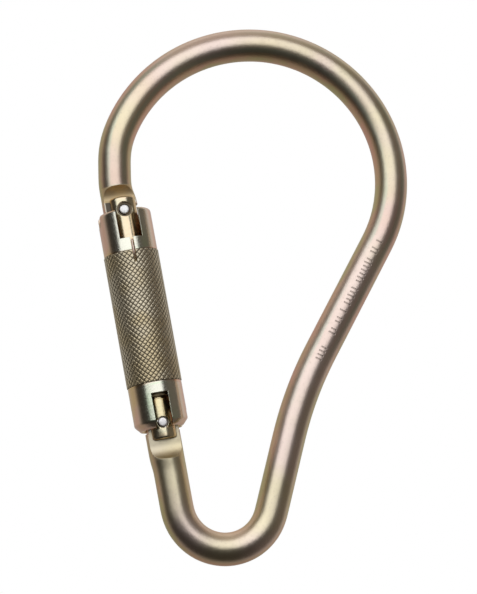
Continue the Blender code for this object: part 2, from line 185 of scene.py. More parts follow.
# ---------------------------------------------------------------- meshes


def make_object(name, points, faces, finish, smooth_angle=35.0):
    """A mesh object from an (n, 3) array and a list of faces."""
    mesh = bpy.data.meshes.new(name)
    mesh.from_pydata(np.asarray(points).reshape(-1, 3).tolist(), [], faces)
    mesh.validate()
    mesh.update()
    obj = bpy.data.objects.new(name, mesh)
    bpy.context.scene.collection.objects.link(obj)
    if finish:
        mesh.materials.append(finish)
    mesh.shade_smooth()
    mesh.set_sharp_from_angle(angle=math.radians(smooth_angle))
    return obj


def grid_faces(rows, columns, closed=True, start=0):
    """Quads between neighbouring points of a grid stored row by row; closed joins its two sides."""
    last = columns if closed else columns - 1
    r, c = np.meshgrid(np.arange(rows - 1), np.arange(last), indexing="ij")
    here, after = r * columns + c, r * columns + (c + 1) % columns
    quads = np.stack((here, after, after + columns, here + columns), axis=-1)
    return (quads.reshape(-1, 4) + start).tolist()


def capped_faces(rows, sides):
    """The faces of a tube of rings, closed by a flat cap at each end."""
    caps = [list(range(sides))[::-1], list(range((rows - 1) * sides, rows * sides))]
    return grid_faces(rows, sides) + caps


def swept(path, radii, sides):
    """A round bar: at each point of the path a circle of its radius, square to the path.

    P(i, a) = path[i] + r[i] (cos a * side + sin a * across), side carried along from +Y.
    """
    path = np.asarray(path, dtype=float)
    ahead = np.gradient(path, axis=0)
    ahead /= np.linalg.norm(ahead, axis=1, keepdims=True)
    side = np.empty_like(path)
    carried = BACK
    for i, direction in enumerate(ahead):
        carried = carried - direction * carried.dot(direction)
        carried = carried / np.linalg.norm(carried)
        side[i] = carried
    across = np.cross(ahead, side)
    a = np.linspace(0.0, 2.0 * math.pi, sides, endpoint=False)[None, :, None]
    ring = np.cos(a) * side[:, None] + np.sin(a) * across[:, None]
    points = path[:, None] + np.asarray(radii)[:, None, None] * ring
    return points, capped_faces(len(path), sides)


def turned(outline, sides, axis="up"):
    """A closed (radius, height) outline turned about the gate's axis, or about Y where axis is "pin"."""
    outline = np.asarray(outline, dtype=float)
    a = np.linspace(0.0, 2.0 * math.pi, sides, endpoint=False)[None, :]
    r, h = outline[:, :1], outline[:, 1:] + 0.0 * a
    first, second = r * np.sin(a), -r * np.cos(a)
    if axis == "up":
        return np.stack((first, second, h), axis=-1)
    return np.stack((first, h, -second), axis=-1)


def rod(outline, sides, axis="up"):
    """A turned rod with flat caps at both ends."""
    return turned(outline, sides, axis), capped_faces(len(outline), sides)


def prism(outline, half, across="y"):
    """An outline extruded both ways: (x, z) points along Y, or (y, z) points along X."""
    first, second = np.asarray(outline, dtype=float).T
    sides = [np.full(len(first), reach) for reach in (-half, half)]
    if across == "y":
        points = [np.stack((first, side, second), axis=-1) for side in sides]
    else:
        points = [np.stack((side, first, second), axis=-1) for side in sides]
    return np.stack(points), capped_faces(2, len(first))


def arc(centre, radius, start, end, steps):
    """Points on an arc, angles in degrees from the first axis towards the second."""
    a = np.radians(np.linspace(start, end, steps + 1))
    return np.stack((centre[0] + radius * np.cos(a), centre[1] + radius * np.sin(a)), axis=-1)


def box_outline(x0, x1, z0, z1):
    """The four corners of a rectangle."""
    return np.array(((x0, z0), (x1, z0), (x1, z1), (x0, z1)))


def carve(obj, cutters):
    """Cut closed shapes, given in the gate's coordinates, out of an object and keep the result."""
    tools = []
    for points, faces in cutters:
        tool = make_object("cutter", to_world(points), faces, None)
        bpy.context.view_layer.update()
        outwards(tool.data)
        modifier = obj.modifiers.new("cut", "BOOLEAN")
        modifier.operation = "DIFFERENCE"
        modifier.solver = "EXACT"
        modifier.object = tool
        tools.append(tool)
    graph = bpy.context.evaluated_depsgraph_get()
    obj.data = bpy.data.meshes.new_from_object(obj.evaluated_get(graph))
    obj.modifiers.clear()
    for tool in tools:
        bpy.data.objects.remove(tool, do_unlink=True)
    obj.data.shade_smooth()
    obj.data.set_sharp_from_angle(angle=math.radians(30.0))


def outwards(mesh):
    """Turn every face of a closed mesh to point out."""
    bm = bmesh.new()
    bm.from_mesh(mesh)
    bmesh.ops.recalc_face_normals(bm, faces=bm.faces)
    bm.to_mesh(mesh)
    bm.free()


# ---------------------------------------------------------------- finishes


class Link:
    """A node socket with the arithmetic of numbers."""

    def __init__(self, tree, socket):
        self.tree = tree
        self.socket = socket

    def math(self, operation, *others):
        node = self.tree.nodes.new("ShaderNodeMath")
        node.operation = operation
        for slot, value in zip(node.inputs, (self, *others)):
            plug(self.tree, slot, value)
        return Link(self.tree, node.outputs[0])

    def __add__(self, other):
        return self.math("ADD", other)

    __radd__ = __add__

    def __mul__(self, other):
        return self.math("MULTIPLY", other)

    __rmul__ = __mul__

    def __sub__(self, other):
        return self.math("SUBTRACT", other)

    def __rsub__(self, other):
        return (self * -1.0) + other


def plug(tree, slot, value):
    """Put a link, a number or a colour into a socket."""
    if isinstance(value, Link):
        tree.links.new(value.socket, slot)
    elif slot.type == "RGBA":
        slot.default_value = (*value[:3], 1.0)
    else:
        slot.default_value = value


class Nodes:
    """A node tree under construction, with one method that adds any node."""

    def __init__(self, tree):
        self.tree = tree

    def node(self, kind, settings=None, inputs=None, out=0):
        """Add a node: settings first, then the values or links of its sockets; returns one output."""
        made = self.tree.nodes.new(kind)
        for key, value in (settings or {}).items():
            setattr(made, key, value)
        for key, value in (inputs or {}).items():
            plug(self.tree, made.inputs[key], value)
        return Link(self.tree, made.outputs[out]) if made.outputs else None

    def axes(self, place):
        """The three numbers of a place."""
        return [self.node("ShaderNodeSeparateXYZ", inputs={"Vector": place}, out=k) for k in "XYZ"]

    def mix(self, factor, first, second):
        """Blend two colours."""
        return self.node("ShaderNodeMix", {"data_type": "RGBA"}, {0: factor, 6: first, 7: second}, 2)

    def ramp(self, factor, low, high):
        """0 below low, 1 above high, smooth between."""
        return self.node(
            "ShaderNodeMapRange", {"interpolation_type": "SMOOTHSTEP"},
            {"Value": factor, "From Min": low, "From Max": high},
        )

    def band(self, value, low, high, soft):
        """1 between low and high, fading out over soft at both ends."""
        return self.ramp(value, low - soft, low) * (1.0 - self.ramp(value, high, high + soft))


class Finish(Nodes):
    """A material under construction."""

    def __init__(self, name):
        self.material = bpy.data.materials.new(name)
        self.material.use_nodes = True
        super().__init__(self.material.node_tree)
        self.shader = self.tree.nodes["Principled BSDF"]
        self.place = self.node("ShaderNodeTexCoord", out="Object")

    def noise(self, scale, detail=3.0, roughness=0.55, vector=None):
        return self.node(
            "ShaderNodeTexNoise",
            inputs={"Vector": vector or self.place, "Scale": scale, "Detail": detail, "Roughness": roughness},
        )

    def stretched(self, scale):
        """Object coordinates turned to the gate's axis and scaled along each of its axes."""
        tilt = math.atan2(GATE_UP[0], GATE_UP[2])
        return self.node(
            "ShaderNodeMapping", {"vector_type": "TEXTURE"},
            {"Vector": self.place, "Rotation": (0.0, tilt, 0.0), "Scale": tuple(1.0 / s for s in scale)},
        )

    def on_gate(self):
        """Object coordinates turned into the gate's own: right, back and up from the hinge pin."""
        tilt = math.atan2(GATE_UP[0], GATE_UP[2])
        place = self.node(
            "ShaderNodeMapping", {"vector_type": "TEXTURE"},
            {"Vector": self.place, "Location": tuple(HINGE), "Rotation": (0.0, tilt, 0.0)},
        )
        return self.axes(place)

    def attribute(self, name):
        """A number kept on the piece's points."""
        return self.node("ShaderNodeAttribute", {"attribute_name": name}, out="Fac")

    def rounded_edges(self, radius, heights=()):
        """A normal with softened edges and the given (height, depth) bumps on it."""
        normal = self.node("ShaderNodeBevel", {"samples": 4}, {"Radius": radius})
        for height, depth in heights:
            bump = {"Height": height, "Distance": depth, "Normal": normal}
            normal = self.node("ShaderNodeBump", inputs=bump)
        self.set("Normal", normal)

    def set(self, socket, value):
        plug(self.tree, self.shader.inputs[socket], value)


def store_flank(obj):
    """Keep how far each point of a piece faces sideways: 0 at the front and back, 1 at its sides."""
    mesh = obj.data
    normals = np.empty(len(mesh.vertices) * 3, dtype=np.float32)
    mesh.vertex_normals.foreach_get("vector", normals)
    flank = 1.0 - np.abs(normals.reshape(-1, 3)[:, 1])
    attribute = mesh.attributes.get("flank") or mesh.attributes.new("flank", "FLOAT", "POINT")
    attribute.data.foreach_set("value", flank.astype(np.float32))


def latch_recess_painted_shade_mask(f, span):
    """1 down in the round recesses of the latch pin, where shade is painted in as a dark colour; 0 elsewhere.
    """
    x, y, z = f.on_gate()
    up = z - span
    reach = (x * x + up * up).math("SQRT")
    inside = 1.0 - f.ramp(reach, 2.95 * MM, 3.07 * MM)
    return inside * f.band(y.math("ABSOLUTE"), 3.2 * MM, 5.35 * MM, 0.2 * MM)


def nose_blade_painted_shade_mask(f, span):
    """1 on the flat of the nose beside the fork, where shade is painted in as a dark colour; 0 elsewhere."""
    x, y, z = f.on_gate()
    across = f.band(x, -6.7 * MM, 4.2 * MM, 0.5 * MM)
    along = f.band(z, span - 7.0 * MM, span + 4.7 * MM, 0.3 * MM)
    return across * along * f.band(y.math("ABSOLUTE"), 2.4 * MM, 2.9 * MM, 0.2 * MM)


def runout_rough_and_lit_mask(f, span):
    """1 where the milled flats of the nose and the tongue curve out to the round bar, 0 elsewhere; there the
    bar is rougher and painted a lighter gold that stands in for light.
    """
    x, y, z = f.on_gate()
    beside = f.band(x, -9.0 * MM, 8.0 * MM, 0.5 * MM)
    beside = beside * f.band(y.math("ABSOLUTE"), 2.5 * MM, 6.3 * MM, 0.3 * MM)
    nose = f.band(z, span + 4.2 * MM, span + 9.7 * MM, 0.3 * MM)
    tongue = f.band(z, -14.2 * MM, -3.0 * MM, 0.3 * MM)
    return beside * (nose + tongue * 0.35)


def spine_marks(f, s):
    """A plain row of short strokes down the front of the spine: one stroke in each cell that chance picks."""
    pitch, short, long = 1.7 * MM, 0.8 * MM, 0.7 * MM
    heading = math.radians(-RIGHT_SWEEP)
    along = Vector((math.cos(heading), 0.0, math.sin(heading)))
    centre = Vector((0.0, 0.0, s.radius - s.right_radius))
    start = centre + s.right_radius * Vector((-along.z, 0.0, along.x))
    turn = math.atan2(along.x, along.z)
    place = f.node(
        "ShaderNodeMapping", {"vector_type": "TEXTURE"},
        {"Vector": f.place, "Location": tuple(start), "Rotation": (0.0, turn, 0.0)},
    )
    x, y, z = f.axes(place)
    cell = z * (1.0 / pitch)
    chance = f.node("ShaderNodeTexWhiteNoise", {"noise_dimensions": "1D"}, {"W": cell.math("FLOOR")}, "Value")
    stroke = f.band(cell.math("FRACT"), 0.36, 0.62, 0.06) * f.ramp(chance, 0.30, 0.32)
    front = 1.0 - f.ramp(y, -3.0 * MM, -2.0 * MM)
    reach = x.math("ABSOLUTE") - chance * short
    across = 1.0 - f.ramp(reach, long, long + 0.15 * MM)
    return stroke * across * f.band(z, -4.0 * MM, 56.0 * MM, 0.1 * MM) * front


def passivated(name, base, olive, rose, roughness, tint=1.0, grain=0.02 * MM, edge=0.3 * MM, **masks):
    """Zinc with yellow passivation: clouds of olive and rose over a satin metal, with painted sheen where the
    surface turns away from the front: a deeper colour, more rose and olive, and a cool band.

    The masks are functions of the finish: shade paints shade in as a near black colour, marks strikes in,
    and milled leaves a flat rougher and paints it a lighter gold that stands in for the light it catches.
    """
    f = Finish(name)
    f.set("Metallic", 1.0)
    flank = f.ramp(f.attribute("flank"), 0.12, 0.75)
    clouds = f.noise(32.0, 3.0)
    drift = f.noise(13.0, 2.0)
    deep = tuple(c * k for c, k in zip(base, (0.88, 0.63, 0.42)))
    pink = tuple(c * k for c, k in zip(base, (1.03, 0.97, 1.03)))
    yellow = tuple(c * k for c, k in zip(base, (1.0, 1.02, 0.86)))
    colour = f.mix(f.ramp(f.noise(19.0, 2.0), 0.42, 0.58), pink, yellow)
    # Painted sheen: the colour deepens where the surface turns away from the front, standing in for the tint
    # seen at a slant.
    colour = f.mix(flank * tint, colour, deep)
    # Painted sheen: a cool band where the highlight's edge falls.
    teal_sheen_band = f.band(f.attribute("flank") + clouds * 0.2, 0.24, 0.34, 0.07)
    colour = f.mix(teal_sheen_band * f.ramp(drift, 0.44, 0.56) * (0.55 * tint), colour, (0.52, 0.68, 0.56))
    # The rose and olive clouds are the passivation's own; their extra weight on the flanks is painted sheen.
    rose_mask = f.ramp(drift + flank * 0.09, 0.48, 0.62) * (flank * 0.62 + 0.26)
    olive_mask = f.ramp(clouds + flank * 0.10, 0.50, 0.68) * (flank * 0.60 + 0.11)
    colour = f.mix(rose_mask * tint, colour, rose)
    colour = f.mix(olive_mask * tint, colour, olive)
    fine = f.noise(1100.0, 2.0)
    colour = f.mix(f.ramp(fine, 0.52, 0.78) * 0.22, colour, tuple(0.55 * c for c in base))
    # Painted shade: where the shade mask is 1, the colour turns almost black.
    if "shade" in masks:
        colour = f.mix(masks["shade"](f) * 0.93, colour, (0.05, 0.04, 0.03))
    scuffs = f.noise(230.0, 5.0, 0.7)
    bumps = [(fine, grain), (scuffs, grain * 2.0)]
    if "marks" in masks:
        struck = masks["marks"](f)
        colour = f.mix(struck * 0.5, colour, (0.12, 0.09, 0.07))
        bumps.append((1.0 - struck, 0.08 * MM))
    satin = scuffs * 0.14 + fine * 0.08 + (roughness - 0.11)
    # Milled run-outs: rougher, and painted a lighter gold that stands in for the light they catch.
    if "milled" in masks:
        cut = masks["milled"](f)
        colour = f.mix(cut * 0.75, colour, (0.93, 0.74, 0.44))
        satin = satin + cut * 0.24
    f.set("Base Color", colour)
    f.set("Roughness", satin)
    f.rounded_edges(edge, bumps)
    return f.material


def turned_steel(name, base, olive, rose, roughness):
    """Turned and passivated steel: fine rings round the gate's axis, with painted sheen: a cool band just off
    the front where the highlight's edge falls, rose and olive towards the flanks.
    """
    f = Finish(name)
    f.set("Metallic", 1.0)
    rings = f.noise(1.0, 3.0, 0.6, f.stretched((40.0, 40.0, 2600.0)))
    side = f.attribute("flank")
    flank = f.ramp(side, 0.15, 0.6)
    green_sheen_band = f.ramp(side, 0.02, 0.10) * (1.0 - f.ramp(side, 0.12, 0.25))
    drift = f.noise(34.0, 3.0)
    # Painted sheen: a cool band where the highlight's edge falls, rose and olive where the surface turns away
    # from the front.
    colour = f.mix(green_sheen_band * f.ramp(drift, 0.42, 0.60) * 0.7, base, (0.66, 0.82, 0.58))
    colour = f.mix(flank * 0.85, colour, rose)
    colour = f.mix(f.ramp(f.noise(60.0, 2.0), 0.44, 0.62) * flank * 0.75, colour, olive)
    f.set("Base Color", colour)
    speck = f.noise(1500.0, 2.0)
    f.set("Roughness", rings * 0.08 + speck * 0.14 + (roughness - 0.11))
    f.rounded_edges(0.25 * MM, ((rings, 0.01 * MM), (speck, 0.018 * MM)))
    return f.material


def knurl_steel(name, base, dark):
    """The knurl: worn tops over grooves painted dark, a painted shade."""
    f = Finish(name)
    f.set("Metallic", 1.0)
    speck = f.noise(1300.0, 3.0)
    deep = f.ramp(f.attribute("groove"), 0.05, 0.6)
    worn = tuple(c * k for c, k in zip(base, (0.92, 0.86, 0.72)))
    tint = f.mix(f.ramp(f.noise(60.0, 2.0), 0.42, 0.64), base, worn)
    # Painted shade: the grooves take the dark colour.
    colour = f.mix(deep, tint, dark)
    colour = f.mix(f.ramp(speck, 0.5, 0.72) * 0.35, colour, tuple(0.45 * c for c in base))
    f.set("Base Color", colour)
    f.set("Roughness", deep * 0.25 + speck * 0.16 + 0.32)
    f.set("Normal", f.node("ShaderNodeBump", inputs={"Height": speck, "Distance": 0.03 * MM}))
    return f.material


def cut_steel(name, base, roughness):
    """Bare cut steel with a lathe's faint marks."""
    f = Finish(name)
    f.set("Metallic", 1.0)
    marks = f.noise(900.0, 4.0)
    f.set("Base Color", f.mix(f.ramp(marks, 0.45, 0.75) * 0.4, base, tuple(0.55 * c for c in base)))
    f.set("Roughness", marks * 0.2 + (roughness - 0.1))
    f.rounded_edges(0.2 * MM, ((marks, 0.03 * MM),))
    return f.material


# ---------------------------------------------------------------- bar


def bent(start, heading, stretches):
    """Points along straights and bends: each stretch is (length, radius or 0, sweep in degrees, steps)."""
    points = [np.array([start])]
    x, z = start
    for length, radius, sweep, steps in stretches:
        t = np.arange(1, steps + 1) / steps
        if radius:
            turn = math.radians(sweep)
            sign = math.copysign(1.0, turn)
            cx, cz = x - sign * radius * math.sin(heading), z + sign * radius * math.cos(heading)
            a = heading + turn * t
            run = np.stack((cx + sign * radius * np.sin(a), cz - sign * radius * np.cos(a)), axis=-1)
            heading += turn
        else:
            run = np.stack((x + length * t * math.cos(heading), z + length * t * math.sin(heading)), axis=-1)
        points.append(run)
        x, z = run[-1]
    return np.concatenate(points)


def smoothed(path, passes):
    """Ease the corners of an evenly stepped path by averaging each point with its neighbours."""
    for _ in range(passes):
        path[1:-1] = 0.25 * path[:-2] + 0.5 * path[1:-1] + 0.25 * path[2:]
    return path


def eased(path, radii, step, passes):
    """The same path and radii at even steps along its length, with its corners eased."""
    length = np.concatenate(([0.0], np.cumsum(np.linalg.norm(np.diff(path, axis=0), axis=1))))
    even = np.linspace(0.0, length[-1], int(round(length[-1] / step)) + 1)
    table = np.column_stack([np.interp(even, length, column) for column in (*path.T, radii)])
    table = smoothed(table, passes)
    return table[:, :3], table[:, 3]


def bar_end(run, radius):
    """Centre line and radii of one of the bar's ends, from (right, up, upset) rows in mm."""
    right, up, upset = np.array(run).T * MM
    return to_world(np.stack((right, 0.0 * right, up), axis=-1)), radius + upset


def bar_path(s):
    """The bar's centre line and radius, from the nose over both bows to the tongue."""
    top = (0.0, s.radius)
    right = bent(top, 0.0, (
        (0.0, s.right_radius, -RIGHT_SWEEP, 110),
        (SPINE_LENGTH, 0.0, 0.0, 24),
        (0.0, SPINE_BEND, SPINE_SWEEP, 20),
        (LEG_LENGTH, 0.0, 0.0, 14),
        (0.0, s.hook_radius, -HOOK_SWEEP, 90),
    ))
    left = bent(top, math.pi, ((0.0, s.left_radius, LEFT_SWEEP, 70), (0.0, s.nose_bend, NOSE_SWEEP, 24)))
    flat = np.concatenate((left[::-1], right[1:]))
    bows = np.stack((flat[:, 0], 0.0 * flat[:, 0], flat[:, 1]), axis=-1)
    nose, nose_radii = bar_end(NOSE_RUN, s.radius)
    tongue, tongue_radii = bar_end(TONGUE_RUN, s.radius)
    path = np.concatenate((nose, bows, tongue))
    radii = np.concatenate((nose_radii, np.full(len(bows), s.radius), tongue_radii))
    return eased(path, radii, EASE_STEP, EASE_PASSES)


def flat_cut(s, side, near, far, runout):
    """One milled flat: a plane at the blade's half thickness, ending in a quarter round at near."""
    inwards = 1.0 if far > near else -1.0
    a = np.radians(np.linspace(0.0, 90.0, 25))
    curve = np.stack((
        s.blade_half + runout * (1.0 - np.cos(a)),
        near - inwards * runout * np.sin(a),
    ), axis=-1)
    end = near - inwards * runout
    outline = np.concatenate(([(s.blade_half, far)], curve, [(AWAY, end), (AWAY, far)]))
    outline[:, 0] *= side
    return prism(outline, AWAY, "x")


def nose_cut(g):
    """All that the hooked nose leaves away: below its tip and in the notch that holds the latch pin."""
    pin, tip, low = g.pin_span, g.pin_span - 4.3 * MM, 70.0 * MM
    left, lip, catch = -7.9 * MM, 2.9 * MM, 2.7 * MM
    corner, lip_round, catch_round, notch = 2.0 * MM, 0.6 * MM, 0.5 * MM, 2.2 * MM
    outline = np.concatenate((
        [(-AWAY, low), (-AWAY, tip + 2.0 * corner), (left, tip + corner)],
        arc((left + corner, tip + corner), corner, 180.0, 270.0, 12)[1:],
        arc((lip - lip_round, tip + lip_round), lip_round, -90.0, 0.0, 6),
        arc((lip - catch_round, pin - catch), catch_round, 0.0, 90.0, 6),
        arc((0.0, pin), notch, 270.0, 90.0, 24),
        [(AWAY, pin + notch), (AWAY, low)],
    ))
    return prism(outline, AWAY)


def tongue_cut():
    """All round the hinge tongue: its shoulders and the spiral heel, r = 6.2 mm + 1.2 mm per 54 degrees."""
    half, shoulder, heel = 6.1 * MM, -3.4 * MM, 6.2 * MM
    lift, swing, past = 1.2 * MM, math.radians(54.0), math.radians(59.4)
    left_end, right_end = 0.5 * MM, 1.5 * MM
    turn = np.linspace(0.0, past, 24)
    radius = heel + lift * turn / swing
    spiral = np.stack((radius * np.sin(turn), radius * np.cos(turn)), axis=-1)
    outline = np.concatenate((
        [(-AWAY, AWAY), (-AWAY, shoulder), (-half, shoulder), (-half, left_end)],
        arc((0.0, 0.0), heel, 165.0, 90.0, 20),
        spiral[1:],
        [(half, right_end), (half, shoulder), (AWAY, shoulder), (AWAY, AWAY)],
    ))
    return prism(outline, AWAY)


class CARABINER_OT_bar(bpy.types.Operator):
    """Build the bent bar with its hooked nose and hinge tongue."""

    bl_idname = "carabiner.bar"
    bl_label = "Bent bar"

    def execute(self, context):
        s, g, c = context.scene.carabiner_bar, context.scene.carabiner_gate, context.scene.carabiner_finish
        path, radii = bar_path(s)
        points, faces = swept(path, radii, s.sides)
        finish = passivated(
            "bar_passivation", c.bar, c.olive, c.rose, 0.35,
            # the nose's flat beside the fork gets painted shade
            shade=lambda f: nose_blade_painted_shade_mask(f, g.pin_span),
            marks=lambda f: spine_marks(f, s),
            milled=lambda f: runout_rough_and_lit_mask(f, g.pin_span),
        )
        bar = make_object("bent_bar", points, faces, finish)
        outwards(bar.data)
        flats = ((*NOSE_FLAT, s.nose_runout), (*TONGUE_FLAT, s.hinge_runout))
        cuts = [flat_cut(s, side, *flat) for side in (-1, 1) for flat in flats]
        hole = rod(((PIN_HOLE_R, -AWAY), (PIN_HOLE_R, AWAY)), 48, "pin")
        carve(bar, [*cuts, nose_cut(g), tongue_cut(), hole])
        finished(bar, "body", "passivated_steel", "body")
        return {"FINISHED"}


def finished(obj, body, slot, *nodes):
    """Ride on the body and stand for the CAD nodes; slot is not used."""
    store_flank(obj)
    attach(obj, body)
    if nodes:
        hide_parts(*nodes)


# ---------------------------------------------------------------- gate and pins


def fillet_profile(corners, radius, steps=5):
    """A (radius, height) outline whose first and last corners are rounded."""
    (r0, z0), (r1, z1) = corners[0], corners[-1]
    low = arc((r0 - radius, z0 + radius), radius, -90.0, 0.0, steps)
    high = arc((r1 - radius, z1 - radius), radius, 0.0, 90.0, steps)
    return np.concatenate((low, corners[1:-1], high))


class CARABINER_OT_gate(bpy.types.Operator):
    """Build the gate bar: forked ends, ring groove, spring waist and bore."""

    bl_idname = "carabiner.gate"
    bl_label = "Gate bar"

    def execute(self, context):
        g, c = context.scene.carabiner_gate, context.scene.carabiner_finish
        points, faces = rod(fillet_profile(np.array(GATE_OUTLINE) * MM, GATE_END_ROUND), g.sides)
        finish = passivated(
            "gate_passivation", c.gold, (0.50, 0.40, 0.18), (0.72, 0.50, 0.24), 0.22, 0.8,
            # the latch pin's recesses get painted shade
            shade=lambda f: latch_recess_painted_shade_mask(f, g.pin_span),
        )
        gate = make_object("gate", to_world(points), faces, finish)
        outwards(gate.data)
        half = g.fork_half
        cuts = [
            prism(box_outline(-half, half, -AWAY, HINGE_FORK_TOP), AWAY, "x"),
            prism(box_outline(-half, half, LATCH_FORK_FLOOR, 4.0 * AWAY), AWAY, "x"),
            rod(((BORE_R, 0.0), (BORE_R, AWAY)), 48),
            rod(((PIN_HOLE_R, -AWAY), (PIN_HOLE_R, AWAY)), 56, "pin"),
        ]
        latch = [rod(((LATCH_HOLE_R, -AWAY), (LATCH_HOLE_R, AWAY)), 56, "pin")]
        for low, high in ((-AWAY, -RECESS_FLOOR), (RECESS_FLOOR, AWAY)):
            latch.append(rod(((RECESS_R, low), (RECESS_R, high)), 64, "pin"))
        cuts += [(points + (0.0, 0.0, g.pin_span), faces) for points, faces in latch]
        carve(gate, cuts)
        finished(gate, "gate", "gate_steel", "gate_bar")
        return {"FINISHED"}


class CARABINER_OT_pins(bpy.types.Operator):
    """Build the hinge pin and the latch pin with their cut, slightly domed ends."""

    bl_idname = "carabiner.pins"
    bl_label = "Pins"

    def execute(self, context):
        g, c = context.scene.carabiner_gate, context.scene.carabiner_finish
        finish = cut_steel("pin_steel_finish", c.pin, 0.42)
        dome_height, dome_fullness = 0.35, 1.6
        pins = (
            ("hinge_pin_riveted", 1.85, 5.6, 0.0, "hinge_pin"),
            ("latch_pin_riveted", 1.9, 5.2, g.pin_span, "latch_pin"),
        )
        a = np.linspace(0.0, math.pi / 2.0, 9)[1:]
        for name, radius, reach, height, node in pins:
            fall = dome_height * (1.0 - np.cos(a)) ** dome_fullness
            dome = np.stack((radius * np.sin(a), reach - fall), axis=-1)
            outline = np.concatenate((dome * (1.0, -1.0), dome[::-1])) * MM
            points, faces = rod(outline, 48, "pin")
            pin = make_object(name, to_world(points + (0.0, 0.0, height)), faces, finish)
            outwards(pin.data)
            finished(pin, "gate", "pin_steel", node)
        return {"FINISHED"}


# ---------------------------------------------------------------- sleeve


def sleeve_profiles(s):
    """Outer and inner (height, radius) profiles of the sleeve."""
    body = s.knurl_radius - s.knurl_depth
    step = 1e-7
    top = arc((s.radius - SLEEVE_SHOULDER, SLEEVE_TOP - SLEEVE_SHOULDER), SLEEVE_SHOULDER, 0.0, 90.0, 8)
    outer = np.array((
        *(np.array(MOUTH_OUTLINE) * MM), (s.radius, KNURL_LOW), (body, KNURL_LOW + step),
        (body, KNURL_HIGH - step), (s.radius, KNURL_HIGH), *top,
    ))
    return outer[:, ::-1], np.array(INNER_OUTLINE)[:, ::-1] * MM


def sleeve_windows():
    """Openings as (centre angle, half width, from height, to height), the angle from the front to the left.

    In order: latch window, both hinge windows, both relief slots, and the spring's slit.
    """
    above, below = 90.0 * MM, -9.0 * MM
    hinge_half, hinge_top = 3.3 * MM, 11.2 * MM
    relief_half = 3.05 * MM
    return (
        (0.0, 4.5 * MM, 73.5 * MM, above),
        (0.0, hinge_half, below, hinge_top),
        (180.0, hinge_half, below, hinge_top),
        (90.0, relief_half, 80.6 * MM, above),
        (270.0, relief_half, below, 3.9 * MM),
        (0.0, SLIT_HALF, SLIT_LOW, above),
    )


